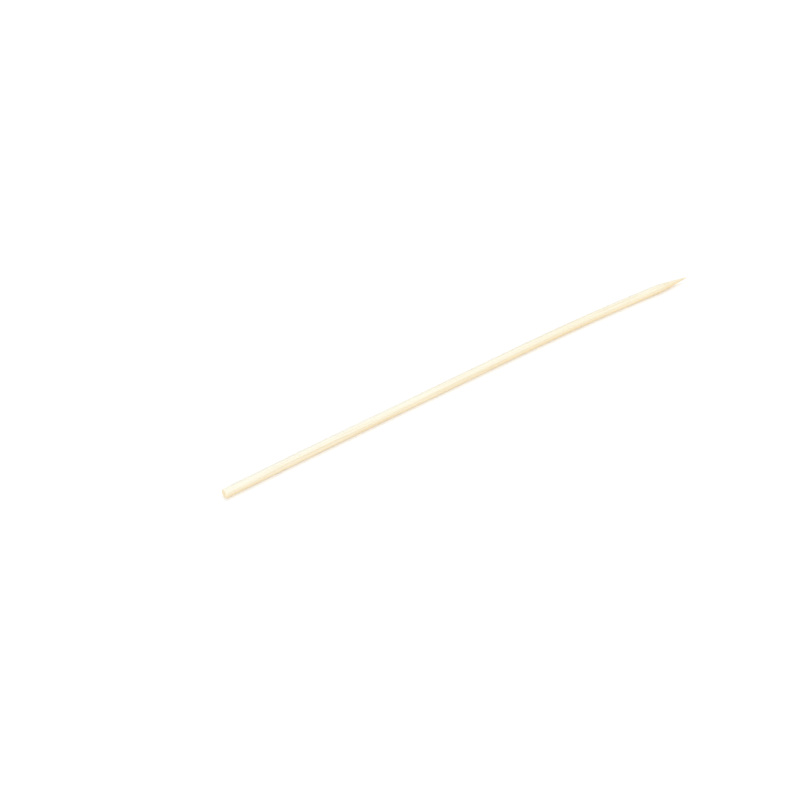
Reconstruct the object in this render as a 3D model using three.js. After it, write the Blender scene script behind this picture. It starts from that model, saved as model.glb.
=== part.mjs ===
// Bamboo skewer: a thin round rod split from bamboo, slightly bowed, ground to a point at one end.
// Millimetres, +Z up. It lies as it comes to rest, its bow flat on the plane Z = 0.
// +X runs from the blunt end to the point. The origin is under the middle of the box around it.
import * as THREE from "three";

// Driving dimensions
const LENGTH = 250; // from the face of the blunt end to the very tip
const DIAMETER = 4; // of the round shank
const FLAT_WIDTH = 1.1; // narrow flat that the split strip left along the underside
const EDGE_RADIUS = 0.35; // worn edge round the face of the blunt end
const POINT_LENGTH = 17; // ground point, from its shoulder to the very tip
const TIP_DIAMETER = 0.5; // blunted end of the point
const BOW = 2.5; // sideways bow of the whole length
const LEAN = 0.64; // moves the deepest part of the bow towards the point
const RIPPLE = 0.26; // slower bend near the middle of the length

// Exponents of the point's outline: above 1, the first hollows the needle end and the second
// rounds the shoulder. A cone has 1 for both.
const NEEDLE_HOLLOW = 1.1;
const SHOULDER_ROUNDING = 1.2;

// Fineness of the faceted surface
const SIDES = 29;
const SHANK_STEPS = 36;
const POINT_STEPS = 14;
const EDGE_STEPS = 3;

const RADIUS = DIAMETER / 2;
const TIP_RADIUS = TIP_DIAMETER / 2;
// The centreline lies this far above the flat, and so above the plane that the flat rests on.
const AXIS_HEIGHT = Math.sqrt(RADIUS ** 2 - (FLAT_WIDTH / 2) ** 2);

// Sideways place of the centreline, `along` mm from the blunt end.
function bowAt(along) {
  const turn = (Math.PI * along) / LENGTH;
  return BOW * Math.sin(turn) - LEAN * Math.sin(2 * turn) + RIPPLE * Math.sin(3 * turn);
}

// Radius of the ground point, `back` mm behind the very tip.
function pointRadius(back) {
  const hollowed = (back / POINT_LENGTH) ** NEEDLE_HOLLOW;
  const grown = 1 - (1 - hollowed) ** SHOULDER_ROUNDING;
  return TIP_RADIUS + (RADIUS - TIP_RADIUS) * grown;
}

// Stations from the blunt end to the tip, each with its place along the length and its radius.
function stations() {
  const list = [];
  for (let i = 0; i <= EDGE_STEPS; i++) {
    const turn = (Math.PI / 2) * (i / EDGE_STEPS);
    list.push({
      along: EDGE_RADIUS * (1 - Math.cos(turn)),
      radius: RADIUS - EDGE_RADIUS * (1 - Math.sin(turn)),
    });
  }
  const shoulder = LENGTH - POINT_LENGTH;
  for (let i = 1; i <= SHANK_STEPS; i++) {
    const along = THREE.MathUtils.lerp(EDGE_RADIUS, shoulder, i / SHANK_STEPS);
    list.push({ along, radius: RADIUS });
  }
  for (let i = POINT_STEPS - 1; i >= 0; i--) {
    const back = (POINT_LENGTH * i) / POINT_STEPS;
    list.push({ along: LENGTH - back, radius: pointRadius(back) });
  }
  return list;
}

// Outline of one section about its centre: a circle, cut by the flat where it reaches that low.
// The corners run from one end of the flat over the top to its other end.
function section(radius) {
  const facet = Math.PI / SIDES;
  const halfFlat = Math.max(Math.acos(Math.min(1, AXIS_HEIGHT / radius)), facet);
  const corners = [];
  for (let i = 0; i < SIDES; i++) {
    const share = i / (SIDES - 1);
    const angle = THREE.MathUtils.lerp(halfFlat, 2 * Math.PI - halfFlat, share) - Math.PI / 2;
    corners.push(new THREE.Vector2(radius * Math.cos(angle), radius * Math.sin(angle)));
  }
  return corners;
}

// One closed skin through all sections, with a flat face at the blunt end and one at the tip.
function skewerGeometry() {
  const points = [];
  const faces = [];
  const rings = stations();
  for (const { along, radius } of rings) {
    for (const corner of section(radius)) {
      points.push(along - LENGTH / 2, bowAt(along) + corner.x, AXIS_HEIGHT + corner.y);
    }
  }
  for (let ring = 0; ring + 1 < rings.length; ring++) {
    for (let side = 0; side < SIDES; side++) {
      const next = (side + 1) % SIDES;
      const a = ring * SIDES + side;
      const b = ring * SIDES + next;
      faces.push(a, b, a + SIDES);
      faces.push(b, b + SIDES, a + SIDES);
    }
  }
  const last = (rings.length - 1) * SIDES;
  for (let side = 1; side + 1 < SIDES; side++) {
    faces.push(0, side + 1, side);
    faces.push(last, last + side, last + side + 1);
  }
  const geometry = new THREE.BufferGeometry();
  geometry.setAttribute("position", new THREE.Float32BufferAttribute(points, 3));
  geometry.setIndex(faces);
  geometry.computeBoundingBox();
  const middle = (geometry.boundingBox.min.y + geometry.boundingBox.max.y) / 2;
  geometry.translate(0, -middle, 0);
  geometry.computeVertexNormals();
  return geometry;
}

function bambooMaterial() {
  return new THREE.MeshStandardMaterial({ color: 0xf0dcb4, roughness: 0.6, metalness: 0 });
}

const skewer = new THREE.Mesh(skewerGeometry(), bambooMaterial());
skewer.name = "skewer";

const part = new THREE.Group();
part.add(skewer);

export default part;
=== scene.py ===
import math

import bpy
import numpy as np
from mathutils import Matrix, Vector

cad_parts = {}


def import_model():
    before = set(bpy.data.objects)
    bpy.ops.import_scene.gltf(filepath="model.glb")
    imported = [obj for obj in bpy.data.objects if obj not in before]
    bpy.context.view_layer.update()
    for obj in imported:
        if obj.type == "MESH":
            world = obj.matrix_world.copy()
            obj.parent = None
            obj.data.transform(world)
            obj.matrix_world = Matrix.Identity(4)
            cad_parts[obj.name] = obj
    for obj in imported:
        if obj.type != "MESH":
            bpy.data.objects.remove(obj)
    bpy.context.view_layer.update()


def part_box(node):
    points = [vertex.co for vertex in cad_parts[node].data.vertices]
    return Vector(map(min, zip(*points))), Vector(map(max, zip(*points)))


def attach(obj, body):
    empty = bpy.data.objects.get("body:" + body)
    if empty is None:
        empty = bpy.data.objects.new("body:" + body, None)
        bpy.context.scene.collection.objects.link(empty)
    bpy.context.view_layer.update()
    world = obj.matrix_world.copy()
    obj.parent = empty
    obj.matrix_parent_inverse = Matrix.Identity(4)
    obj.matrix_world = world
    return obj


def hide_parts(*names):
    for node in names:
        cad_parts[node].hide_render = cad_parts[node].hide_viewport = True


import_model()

METRE = 1000.0
SEED = 41

# The rod, as in the frame
BOX_LOW, BOX_HIGH = (np.array(corner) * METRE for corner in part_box("skewer"))
LENGTH = BOX_HIGH[0] - BOX_LOW[0]
RADIUS = 2.0
FLAT_WIDTH = 1.1
EDGE_RADIUS = 0.35
POINT_LENGTH = 17.0
TIP_RADIUS = 0.25
NEEDLE_HOLLOW = 1.1
SHOULDER_ROUNDING = 1.2
BOW = 2.5
LEAN = 0.64
RIPPLE = 0.26
AXIS_HEIGHT = math.sqrt(RADIUS**2 - (FLAT_WIDTH / 2) ** 2)

# Rounding of the very tip: its height, and the quarter turns of its first and last ring
DOME_HEIGHT = 0.2
DOME_TURNS = (0.25, 0.93)

# Fineness of the skin
SIDES = 168
SHANK_STEP = 0.56
POINT_STEP = 0.27
EDGE_STEPS = 6
DOME_STEPS = 5
CAP_RINGS = 22
BOW_SAMPLES = 2001

# Relief of the skin: each layer has the length of its strands, their number round the rod, and its
# height. The skin only ever sinks below the rod's own radius.
STRAND_LAYERS = [(70.0, 7, 0.022), (26.0, 24, 0.012), (9.0, 62, 0.007)]
GROOVES = 46
GROOVE_LENGTH = (7.0, 60.0)
GROOVE_WIDTH = (0.05, 0.1)
GROOVE_DEPTH = (0.012, 0.04)
NICKS = 70
NICK_LENGTH = (0.6, 2.6)
NICK_WIDTH = (0.04, 0.08)
NICK_DEPTH = (0.012, 0.035)
# Grooves and nicks run out over a quarter of their length at each end.
SLOT_RUN_OUT = 4
# The flat shows only this share of the relief.
FLAT_RELIEF = 0.4

# Facets that grinding left on the point, and how quickly they grow from its shoulder
POINT_LOBES = 0.05
POINT_LOBE_STRANDS = (11.0, 6)
POINT_LOBE_RISE = 1.6

# Wear of the edge round the blunt end, and how many edge radii it reaches along the rod
EDGE_WEAR = 0.09
EDGE_WEAR_STRANDS = (3.0, 31)
EDGE_WEAR_REACH = 2.2

# Roughness of the sawn face at the blunt end: its depth, the size and weight of its two grains,
# and how steeply it fades towards the edge
CUT_RELIEF = 0.03
CUT_FINE_GRAIN = 0.11
CUT_COARSE_GRAIN = 0.33
CUT_FINE_WEIGHT = 0.6
CUT_COARSE_WEIGHT = 0.4
CUT_FADE = 6

# Flat map of the skin: strips of equal length, one above another, and the cut face above them
STRIPS = 5
STRIP_GAP = 0.5

# Fibre bundles: cells across the rod and upwards, where in a cell a bundle has its edge, how faint
# and how strong one can be, and how the bundles swell and drift sideways along the rod
BUNDLES_PER_MM = (0.0, 2.2, 2.2)
BUNDLE_EDGE = (0.32, 0.22)
BUNDLE_STRENGTH = (0.35, 1.0)
BUNDLE_DISORDER = 0.7
DRIFTS_PER_MM = (0.016, 0.06, 0.06)
BUNDLE_DRIFT = (1.0, 3.0, 3.0)

# Patterns of the skin and of the cut face. The scales, per millimetre, are those along the rod,
# across it and, where there is a third, upwards. Between low and high a pattern goes from none to
# all, or to top.
PATCHES = {"scales": (0.018, 0.3), "detail": 2.0, "low": 0.36, "high": 0.64, "top": 0.4}
STREAKS = {"scales": (0.03, 2.4), "detail": 3.0, "roughness": 0.6, "low": 0.38, "high": 0.66}
THREADS = {"scales": (0.09, 8.0), "detail": 2.0, "low": 0.42, "high": 0.7}
DASHES = {"scales": (0.4, 13.0), "detail": 1.0, "low": 0.68, "high": 0.78}
CUT_CELLS = {"scales": (0.5, 9.0), "detail": 2.0, "low": 0.35, "high": 0.65}
SAW_MARKS = {"scales": (0.5, 0.7, 7.0), "detail": 3.0, "low": 0.35, "high": 0.65}
FINE_GRAIN = {"scales": (0.12, 9.0), "detail": 3.0, "roughness": 0.65}
GRINDING = {"scales": (6.0, 0.5), "detail": 3.0, "roughness": 0.6}

# Painted light falloff: the wood is painted paler at the blunt end and warmer towards the tip, by
# these shares at the blunt end and at the tip.
# All colours are given as they look on a screen, from 0 to 255.
PALE_WOOD = (254, 252, 244)
WARM_WOOD = (252, 245, 227)
PAINTED_FALLOFF_AT_ENDS = (-0.1, 0.7)
CUT_WOOD = (252, 245, 230)
CUT_PALE_WOOD = (254, 251, 241)

# What lies over the wood's colour, each with its strength and its own colour
STREAK_TINT = (0.42, (248, 237, 209))
THREAD_TINT = (0.35, (254, 249, 236))
BUNDLE_TINT = (0.55, (233, 207, 162))
DASH_TINT = (0.4, (214, 178, 126))
GROOVE_TINT = (0.4, (222, 188, 138))
GROUND_TINT = (0.45, (249, 233, 201))
# Painted highlight: the rounded rim of the blunt end is painted paler, as if catching the light.
RIM_HIGHLIGHT_TINT = (0.35, (254, 249, 237))
SAW_TINT = (0.25, (246, 232, 209))
DOT_TINT = (0.5, (220, 188, 145))

# Where the ground wood has its full colour, as a share of the point's length from the tip, and
# where the painted highlight on the blunt end's rim begins and is full, in edge radii from the face
GROUND_FULL_AT = 0.7
RIM_HIGHLIGHT_FADE = (1.6, 0.4)

# Gloss and fine relief. The relief is a bump's strength and depth.
SKIN_ROUGHNESS = (0.55, 0.66)
GROUND_ROUGHER = 0.12
SKIN_SPECULAR = 0.12
SKIN_BUMP = (0.35, 0.02)
DASH_HEIGHT = -0.4
BUNDLE_HEIGHT = -0.5
CUT_ROUGHNESS = 0.78
CUT_SPECULAR = 0.25
CUT_BUMP = (0.4, 0.03)

# Stage: floor, far soft lamps and camera. Places are in millimetres, the lamps' widths in degrees.
FLOOR_SIDE = 3000.0
FLOOR_SEEN = (240, 241, 247)
FLOOR_THROWS = (250, 226, 184)
FLOOR_LIFT = 0.2
KEY_FROM = (300.0, 250.0, 900.0)
KEY_WIDTH = 30.0
KEY_POWER = 0.95
KEY_COLOUR = (0.85, 0.92, 0.95)
FILL_FROM = (-600.0, -600.0, 540.0)
FILL_WIDTH = 45.0
FILL_POWER = 1.25
FILL_COLOUR = (0.84, 0.92, 0.92)
WORLD_LEVEL = 0.59
WORLD_COLOUR = (0.975, 0.94, 0.88, 1.0)
WHITE = (1.0, 1.0, 1.0, 1.0)
CAMERA_AT = (-361.5, -429.5, 428.6)
CAMERA_AIM = (-33.4, 6.8, 0.0)
CAMERA_LENS = 74.67
CAMERA_REACH = 10000.0
SENSOR = 36.0

# Sockets of Blender's colour mix: the share, the two colours and the result
MIX_SHARE = 0
MIX_FIRST = 6
MIX_SECOND = 7
MIX_RESULT = 2

# Least slope that a height is divided by
TINY = 1e-6


def bow_at(along):
    """Sideways place of the centreline, so far from the blunt end."""
    turn = np.pi * along / LENGTH
    return BOW * np.sin(turn) - LEAN * np.sin(2 * turn) + RIPPLE * np.sin(3 * turn)


def middle_of_bow():
    """Half way across the rod's box, from the side of its ends to the top of its bow."""
    return bow_at(np.linspace(0, LENGTH, BOW_SAMPLES)).max() / 2


def smooth(share):
    """An even step from 0 to 1, soft at both ends."""
    share = np.clip(share, 0, 1)
    return share * share * (3 - 2 * share)


def strands(rng, along, angle, cell, around):
    """A random field of long strands on the unrolled skin, from -1 to 1."""
    rows = int(LENGTH / cell) + 3
    table = rng.uniform(-1, 1, (rows, around))
    row_at = along / cell + rng.uniform()
    row = np.floor(row_at).astype(int)
    column_at = angle / (2 * np.pi) * around
    column = np.floor(column_at).astype(int)
    up = smooth(row_at - row)
    across = smooth(column_at - column)
    row = np.clip(row, 0, rows - 2)
    edges = []
    for one in (column % around, (column + 1) % around):
        edges.append(table[row, one] * (1 - up) + table[row + 1, one] * up)
    left, right = edges
    return left * (1 - across) + right * across


def slots(rng, along, angle, count, lengths, widths, depths):
    """Depth of narrow slots that run with the fibres, at random places."""
    depth = np.zeros(np.broadcast(along, angle).shape)
    for _ in range(count):
        length = rng.uniform(*lengths)
        start = rng.uniform(-length / 2, LENGTH)
        centre = rng.uniform(0, 2 * np.pi)
        width = rng.uniform(*widths)
        deep = rng.uniform(*depths)
        share = (along - start) / length
        fade = smooth(np.minimum(share, 1 - share) * SLOT_RUN_OUT)
        sideways = np.angle(np.exp(1j * (angle - centre))) * RADIUS / width
        depth = np.maximum(depth, deep * fade * np.exp(-(sideways**2)))
    return depth


def stations():
    """Places along the rod and radii of its outline, from the blunt end's edge to the tip."""
    turn = np.linspace(0, np.pi / 2, EDGE_STEPS + 1)
    edge = EDGE_RADIUS * (1 - np.cos(turn))
    edge_radius = RADIUS - EDGE_RADIUS * (1 - np.sin(turn))
    shoulder = LENGTH - POINT_LENGTH
    shank = np.arange(EDGE_RADIUS + SHANK_STEP, shoulder - SHANK_STEP / 2, SHANK_STEP)
    back = np.arange(POINT_LENGTH, DOME_HEIGHT, -POINT_STEP)
    grown = 1 - (1 - (back / POINT_LENGTH) ** NEEDLE_HOLLOW) ** SHOULDER_ROUNDING
    point_radius = TIP_RADIUS + (RADIUS - TIP_RADIUS) * grown
    turn = np.linspace(*DOME_TURNS, DOME_STEPS) * np.pi / 2
    dome = LENGTH - DOME_HEIGHT * (1 - np.sin(turn))
    dome_radius = point_radius[-1] * np.cos(turn)
    along = np.concatenate([edge, shank, LENGTH - back, dome])
    radius = np.concatenate([edge_radius, np.full(len(shank), RADIUS), point_radius, dome_radius])
    return along, radius


def grain(rng, across, up, cell):
    """A random field over the cut face, from -1 to 1."""
    cells = int(2 * RADIUS / cell) + 3
    table = rng.uniform(-1, 1, (cells + 1, cells + 1))
    column_at = (across + RADIUS) / cell + 1
    row_at = (up + RADIUS) / cell + 1
    column = np.clip(np.floor(column_at).astype(int), 0, cells - 1)
    row = np.clip(np.floor(row_at).astype(int), 0, cells - 1)
    right = smooth(column_at - column)
    above = smooth(row_at - row)
    low = table[row, column] * (1 - right) + table[row, column + 1] * right
    high = table[row + 1, column] * (1 - right) + table[row + 1, column + 1] * right
    return low * (1 - above) + high * above


def cut_relief(rng, across, up):
    """Depth of the sawn face below its highest place."""
    rough = CUT_FINE_WEIGHT * grain(rng, across, up, CUT_FINE_GRAIN)
    rough = rough + CUT_COARSE_WEIGHT * grain(rng, across, up, CUT_COARSE_GRAIN)
    return CUT_RELIEF * (1 - rough)


def skin():
    """Vertices of the skin in rows along the rod, with the marks that the materials read."""
    rng = np.random.default_rng(SEED)
    stops, radii = stations()
    along = stops[:, None]
    outline = radii[:, None]
    angle = (np.arange(SIDES) / SIDES * 2 * np.pi)[None, :]
    relief = np.zeros((len(stops), SIDES))
    for cell, around, height in STRAND_LAYERS:
        relief += height * (strands(rng, along, angle, cell, around) - 1) / 2
    groove = slots(rng, along, angle, GROOVES, GROOVE_LENGTH, GROOVE_WIDTH, GROOVE_DEPTH)
    nick = slots(rng, along, angle, NICKS, NICK_LENGTH, NICK_WIDTH, NICK_DEPTH)
    wear = EDGE_WEAR * (1 + strands(rng, along, angle, *EDGE_WEAR_STRANDS)) / 2
    relief -= wear * smooth(1 - along / (EDGE_RADIUS * EDGE_WEAR_REACH))
    ground = smooth((along - (LENGTH - POINT_LENGTH)) / POINT_LENGTH * POINT_LOBE_RISE)
    lobes = POINT_LOBES * (strands(rng, along, angle, *POINT_LOBE_STRANDS) - 1) / 2
    marks = np.maximum(groove, nick)
    # The fine relief shrinks with the point, so that the tip keeps its form.
    size = outline / RADIUS
    radius = outline + (relief - marks) * size + lobes * ground * outline
    # The flat: below it the section is cut by a level line under the centre.
    down = np.maximum(-np.sin(angle), TINY)
    radius = np.minimum(radius, (AXIS_HEIGHT + (relief - marks) * FLAT_RELIEF) / down)
    shape = radius.shape
    return {
        "along": np.broadcast_to(along, shape),
        "y": radius * np.cos(angle),
        "z": radius * np.sin(angle),
        "groove": marks / GROOVE_DEPTH[1],
    }


def cap(rows):
    """Rings that close the blunt end inside the first row of the skin, from the middle out."""
    rng = np.random.default_rng(SEED + 1)
    share = (np.arange(1, CAP_RINGS + 1) / (CAP_RINGS + 1))[:, None]
    y = rows["y"][0][None, :] * share
    z = rows["z"][0][None, :] * share
    fade = smooth((1 - share) * CUT_FADE)
    return {
        "along": cut_relief(rng, y, z) * fade,
        "y": y,
        "z": z,
        "groove": np.zeros(y.shape),
    }


def closed_skin(rows):
    """Faces of so many rings, with a fan round the middle of the cut and one round the tip."""
    ring = np.arange(SIDES)
    following = (ring + 1) % SIDES
    faces = []
    for one, two in zip(ring, following):
        faces.append((0, 1 + two, 1 + one))
    for row in range(rows - 1):
        start = 1 + row * SIDES
        for one, two in zip(start + ring, start + following):
            faces.append((one, two, two + SIDES, one + SIDES))
    start = 1 + (rows - 1) * SIDES
    tip = start + SIDES
    for one, two in zip(start + ring, start + following):
        faces.append((one, two, tip))
    return faces


def build_skewer():
    """One closed mesh: a middle vertex, the cap's rings, the skin's rows and the tip's vertex."""
    rows = skin()
    rings = cap(rows)
    ends = {
        "along": (rings["along"][0].mean(), LENGTH),
        "y": (0.0, 0.0),
        "z": (0.0, 0.0),
        "groove": (0.0, 0.0),
    }
    flat = {}
    for key, (middle, tip) in ends.items():
        flat[key] = np.concatenate([[middle], rings[key].ravel(), rows[key].ravel(), [tip]])
    places = np.stack(
        [
            flat["along"] - LENGTH / 2,
            flat["y"] + bow_at(flat["along"]) - middle_of_bow(),
            flat["z"] + AXIS_HEIGHT,
        ],
        axis=1,
    )
    faces = closed_skin(len(rings["y"]) + len(rows["y"]))
    mesh = bpy.data.meshes.new("skewer_fibres")
    mesh.from_pydata((places / METRE).tolist(), [], faces)
    mesh.update()
    mark(mesh, "straight", np.stack([flat["along"], flat["y"], flat["z"]], axis=1))
    mark(mesh, "groove", flat["groove"])
    cut_faces = SIDES * (CAP_RINGS + 1)
    slot_of = np.zeros(len(faces), dtype=np.int32)
    slot_of[:cut_faces] = 1
    mesh.materials.append(bamboo_material())
    mesh.materials.append(end_grain_material())
    mesh.polygons.foreach_set("material_index", slot_of)
    mesh.polygons.foreach_set("use_smooth", np.ones(len(faces), dtype=bool))
    unroll(mesh, flat, cut_faces)
    piece = bpy.data.objects.new("skewer_fibres", mesh)
    bpy.context.collection.objects.link(piece)
    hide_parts("skewer")
    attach(piece, "root")


def mark(mesh, name, values):
    """Keeps one value or vector for each vertex, for the materials."""
    kind, field = ("FLOAT_VECTOR", "vector") if values.ndim == 2 else ("FLOAT", "value")
    layer = mesh.attributes.new(name, kind, "POINT")
    layer.data.foreach_set(field, values.astype(np.float32).ravel())


def unroll(mesh, flat, cut_faces):
    """Lays the skin out flat in strips, and the cut face above them."""
    layer = mesh.uv_layers.new(name="OFBake")
    corners = np.empty(len(mesh.loops), dtype=np.int32)
    mesh.loops.foreach_get("vertex_index", corners)
    totals = np.empty(len(mesh.polygons), dtype=np.int32)
    mesh.polygons.foreach_get("loop_total", totals)
    face_of = np.repeat(np.arange(len(totals)), totals)
    along = flat["along"][corners]
    y = flat["y"][corners]
    z = flat["z"][corners]
    turn = np.arctan2(z, y) % (2 * np.pi)
    first = np.concatenate([[0], np.cumsum(totals)[:-1]])
    start_turn = turn[first][face_of]
    # A corner on the seam keeps to its face's side of it.
    turn = np.where(turn - start_turn > np.pi, turn - 2 * np.pi, turn)
    turn = np.where(turn - start_turn < -np.pi, turn + 2 * np.pi, turn)
    at_tip = corners == len(flat["along"]) - 1
    turn = np.where(at_tip, start_turn, turn)
    strip_length = LENGTH / STRIPS
    strip = np.clip((along[first] / strip_length).astype(int), 0, STRIPS - 1)[face_of]
    strip_height = 2 * np.pi * RADIUS + STRIP_GAP
    u = along - strip * strip_length + STRIP_GAP
    v = strip * strip_height + turn * RADIUS + STRIP_GAP
    cut = face_of < cut_faces
    u = np.where(cut, y + RADIUS + STRIP_GAP, u)
    v = np.where(cut, z + RADIUS + STRIPS * strip_height + STRIP_GAP, v)
    side = STRIPS * strip_height + 2 * RADIUS + 2 * STRIP_GAP
    layer.data.foreach_set("uv", (np.stack([u, v], axis=1) / side).astype(np.float32).ravel())


def shade(red, green, blue):
    """A colour given as it looks on a screen, from 0 to 255, as the renderer wants it."""
    linear = []
    for level in (red, green, blue):
        share = level / 255
        linear.append(share / 12.92 if share <= 0.04045 else ((share + 0.055) / 1.055) ** 2.4)
    return (*linear, 1.0)


class Graph:
    """The nodes of a material or a world, made by short calls."""

    def __init__(self, owner):
        self.owner = owner
        owner.use_nodes = True
        self.tree = owner.node_tree
        self.tree.nodes.clear()

    def put(self, socket, value):
        """Links another node's output to the socket, or sets it to a plain value."""
        if isinstance(value, bpy.types.NodeSocket):
            self.tree.links.new(value, socket)
        else:
            socket.default_value = value

    def node(self, kind, inputs=None, **settings):
        made = self.tree.nodes.new(kind)
        for key, value in settings.items():
            setattr(made, key, value)
        for key, value in (inputs or {}).items():
            self.put(made.inputs[key], value)
        return made

    def math(self, operation, one, two=0.0, three=0.0):
        made = self.node("ShaderNodeMath", {0: one, 1: two, 2: three}, operation=operation)
        return made.outputs[0]

    def vector_math(self, operation, *values):
        made = self.node("ShaderNodeVectorMath", dict(enumerate(values)), operation=operation)
        return made.outputs[0]

    def attribute(self, name):
        return self.node("ShaderNodeAttribute", attribute_name=name)

    def span(self, value, low, high, to_low=0.0, to_high=1.0):
        made = self.node(
            "ShaderNodeMapRange",
            {"Value": value, "From Min": low, "From Max": high, "To Min": to_low, "To Max": to_high},
        )
        return made.outputs["Result"]

    def mix(self, share, one, two):
        made = self.node(
            "ShaderNodeMix",
            {MIX_SHARE: share, MIX_FIRST: one, MIX_SECOND: two},
            data_type="RGBA",
        )
        return made.outputs[MIX_RESULT]

    def tint(self, colour, where, strength, other):
        """Lays another colour over the first, as far as a pattern and a strength say."""
        return self.mix(self.math("MULTIPLY", where, strength), colour, shade(*other))

    def noise(self, vector, scales, detail, roughness=0.5):
        """Noise over the straightened rod. Without a third scale, the second holds upwards too."""
        scaled = self.vector_math("MULTIPLY", vector, (*scales, scales[-1])[:3])
        made = self.node(
            "ShaderNodeTexNoise",
            {"Vector": scaled, "Scale": 1.0, "Detail": detail, "Roughness": roughness},
        )
        return made.outputs["Fac"]

    def pattern(self, vector, low, high, top=1.0, **texture):
        """Noise that is spread out, so that it goes from none at low to its top at high."""
        return self.span(self.noise(vector, **texture), low, high, 0.0, top)

    def bundles(self, vector):
        """The cane's fibre bundles, which run through the rod: dots where it is cut across, and
        long lines where the skin cuts along them. Some are fainter than others."""
        slow = self.vector_math("MULTIPLY", vector, DRIFTS_PER_MM)
        wander = self.node("ShaderNodeTexNoise", {"Vector": slow, "Scale": 1.0})
        drift = self.vector_math("MULTIPLY", wander.outputs["Color"], BUNDLE_DRIFT)
        placed = self.vector_math("MULTIPLY_ADD", vector, BUNDLES_PER_MM, drift)
        cells = self.node(
            "ShaderNodeTexVoronoi",
            {"Vector": placed, "Scale": 1.0, "Randomness": BUNDLE_DISORDER},
        )
        inside = self.span(cells.outputs["Distance"], *BUNDLE_EDGE)
        chance = self.node("ShaderNodeSeparateColor", {0: cells.outputs["Color"]})
        strength = self.span(chance.outputs[0], 0.0, 1.0, *BUNDLE_STRENGTH)
        return self.math("MULTIPLY", inside, strength)

    def seen(self):
        """1 for what the camera, a mirror or glass shows, and 0 for light on its way to a thing."""
        path = self.node("ShaderNodeLightPath").outputs
        mirrored = self.math("MAXIMUM", path["Is Camera Ray"], path["Is Glossy Ray"])
        return self.math("MAXIMUM", mirrored, path["Is Transmission Ray"])

    def wood(self, colour, roughness, specular, height, bump):
        """Bare wood of this colour and gloss, with a fine relief."""
        strength, depth = bump
        relief = self.node(
            "ShaderNodeBump",
            {"Strength": strength, "Distance": depth / METRE, "Height": height},
        )
        shader = self.node(
            "ShaderNodeBsdfPrincipled",
            {
                "Base Color": colour,
                "Roughness": roughness,
                "Normal": relief.outputs["Normal"],
                "Specular IOR Level": specular,
            },
        )
        return self.finish(shader.outputs[0])

    def finish(self, shader, kind="ShaderNodeOutputMaterial"):
        self.node(kind, {"Surface": shader})
        return self.owner


def bamboo_material():
    g = Graph(bpy.data.materials.new("bamboo_skin"))
    rod = g.attribute("straight").outputs["Vector"]
    groove = g.attribute("groove").outputs["Fac"]
    along = g.node("ShaderNodeSeparateXYZ", {0: rod}).outputs["X"]
    # Painted light falloff: the wood is painted palest at the blunt end and warmer towards the
    # point, for light that dims along the rod.
    painted_falloff = g.span(along, 0.0, LENGTH, *PAINTED_FALLOFF_AT_ENDS)
    patches_and_painted_falloff = g.math("ADD", g.pattern(rod, **PATCHES), painted_falloff)
    streaks = g.pattern(rod, **STREAKS)
    threads = g.pattern(rod, **THREADS)
    dashes = g.pattern(rod, **DASHES)
    lines = g.bundles(rod)
    ground = g.span(along, LENGTH - POINT_LENGTH, LENGTH - POINT_LENGTH * GROUND_FULL_AT)
    # Painted highlight on the rounded rim of the blunt end.
    rim_highlight = g.span(along, EDGE_RADIUS * RIM_HIGHLIGHT_FADE[0], EDGE_RADIUS * RIM_HIGHLIGHT_FADE[1])
    # The wood's two colours are mixed by random patches of tone together with the painted light
    # falloff along the rod.
    colour = g.mix(patches_and_painted_falloff, shade(*PALE_WOOD), shade(*WARM_WOOD))
    colour = g.tint(colour, streaks, *STREAK_TINT)
    colour = g.tint(colour, threads, *THREAD_TINT)
    colour = g.tint(colour, lines, *BUNDLE_TINT)
    colour = g.tint(colour, dashes, *DASH_TINT)
    colour = g.tint(colour, groove, *GROOVE_TINT)
    colour = g.tint(colour, ground, *GROUND_TINT)
    colour = g.tint(colour, rim_highlight, *RIM_HIGHLIGHT_TINT)
    rough = g.span(streaks, 0.0, 1.0, *SKIN_ROUGHNESS)
    rough = g.math("ADD", rough, g.math("MULTIPLY", ground, GROUND_ROUGHER))
    height = g.math("ADD", g.noise(rod, **FINE_GRAIN), g.math("MULTIPLY", dashes, DASH_HEIGHT))
    # Grinding left fine marks round the point.
    scratches = g.math("MULTIPLY", g.noise(rod, **GRINDING), ground)
    height = g.math("ADD", height, scratches)
    height = g.math("ADD", height, g.math("MULTIPLY", lines, BUNDLE_HEIGHT))
    return g.wood(colour, rough, SKIN_SPECULAR, height, SKIN_BUMP)


def end_grain_material():
    g = Graph(bpy.data.materials.new("bamboo_end_grain"))
    rod = g.attribute("straight").outputs["Vector"]
    cells = g.pattern(rod, **CUT_CELLS)
    sawn = g.pattern(rod, **SAW_MARKS)
    dots = g.bundles(rod)
    colour = g.mix(cells, shade(*CUT_WOOD), shade(*CUT_PALE_WOOD))
    colour = g.tint(colour, sawn, *SAW_TINT)
    colour = g.tint(colour, dots, *DOT_TINT)
    height = g.math("ADD", g.math("ADD", cells, sawn), dots)
    return g.wood(colour, CUT_ROUGHNESS, CUT_SPECULAR, height, CUT_BUMP)


def look(piece, at, aim):
    """Puts a lamp or the camera in its place and turns it to what it looks at."""
    piece.location = Vector(at) / METRE
    piece.rotation_euler = (Vector(aim) - Vector(at)).to_track_quat("-Z", "Y").to_euler()


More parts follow.
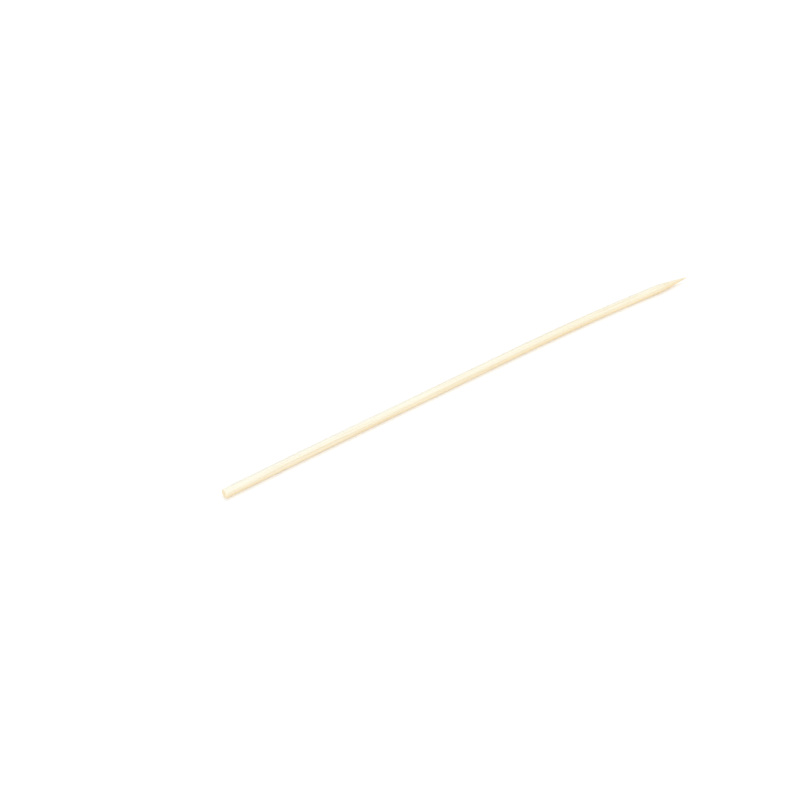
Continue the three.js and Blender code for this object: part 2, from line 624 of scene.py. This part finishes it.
def lamp(name, at, width, power, colour):
    """Light that is even over the whole floor, with soft shadows."""
    data = bpy.data.lights.new(name, "SUN")
    data.angle = math.radians(width)
    data.energy = power
    data.color = colour
    piece = bpy.data.objects.new(name, data)
    bpy.context.collection.objects.link(piece)
    look(piece, at, (0.0, 0.0, 0.0))


def floor():
    """A wide floor that looks white and throws warm light back up at the skewer."""
    half = FLOOR_SIDE / 2 / METRE
    corners = [(-half, -half, 0), (half, -half, 0), (half, half, 0), (-half, half, 0)]
    mesh = bpy.data.meshes.new("floor")
    mesh.from_pydata(corners, [], [(0, 1, 2, 3)])
    g = Graph(bpy.data.materials.new("white_floor"))
    seen = g.seen()
    colour = g.mix(seen, shade(*FLOOR_THROWS), shade(*FLOOR_SEEN))
    diffuse = g.node("ShaderNodeBsdfDiffuse", {"Color": colour})
    lift = g.node("ShaderNodeEmission", {"Strength": g.math("MULTIPLY", seen, FLOOR_LIFT)})
    both = g.node("ShaderNodeAddShader", {0: diffuse.outputs[0], 1: lift.outputs[0]})
    mesh.materials.append(g.finish(both.outputs[0]))
    piece = bpy.data.objects.new("floor", mesh)
    bpy.context.collection.objects.link(piece)


def world():
    """Even light from all round, which is white where it is seen or mirrored."""
    g = Graph(bpy.data.worlds.new("soft_room"))
    seen = g.seen()
    colour = g.mix(seen, WORLD_COLOUR, WHITE)
    level = g.span(seen, 0.0, 1.0, WORLD_LEVEL)
    background = g.node("ShaderNodeBackground", {"Color": colour, "Strength": level})
    bpy.context.scene.world = g.finish(background.outputs[0], "ShaderNodeOutputWorld")


def camera():
    data = bpy.data.cameras.new("camera")
    data.sensor_width = SENSOR
    data.lens = CAMERA_LENS
    data.clip_end = CAMERA_REACH / METRE
    piece = bpy.data.objects.new("camera", data)
    bpy.context.collection.objects.link(piece)
    look(piece, CAMERA_AT, CAMERA_AIM)
    bpy.context.scene.camera = piece


build_skewer()
floor()
world()
lamp("key", KEY_FROM, KEY_WIDTH, KEY_POWER, KEY_COLOUR)
lamp("fill", FILL_FROM, FILL_WIDTH, FILL_POWER, FILL_COLOUR)
camera()
bpy.context.scene.view_settings.view_transform = "Standard"
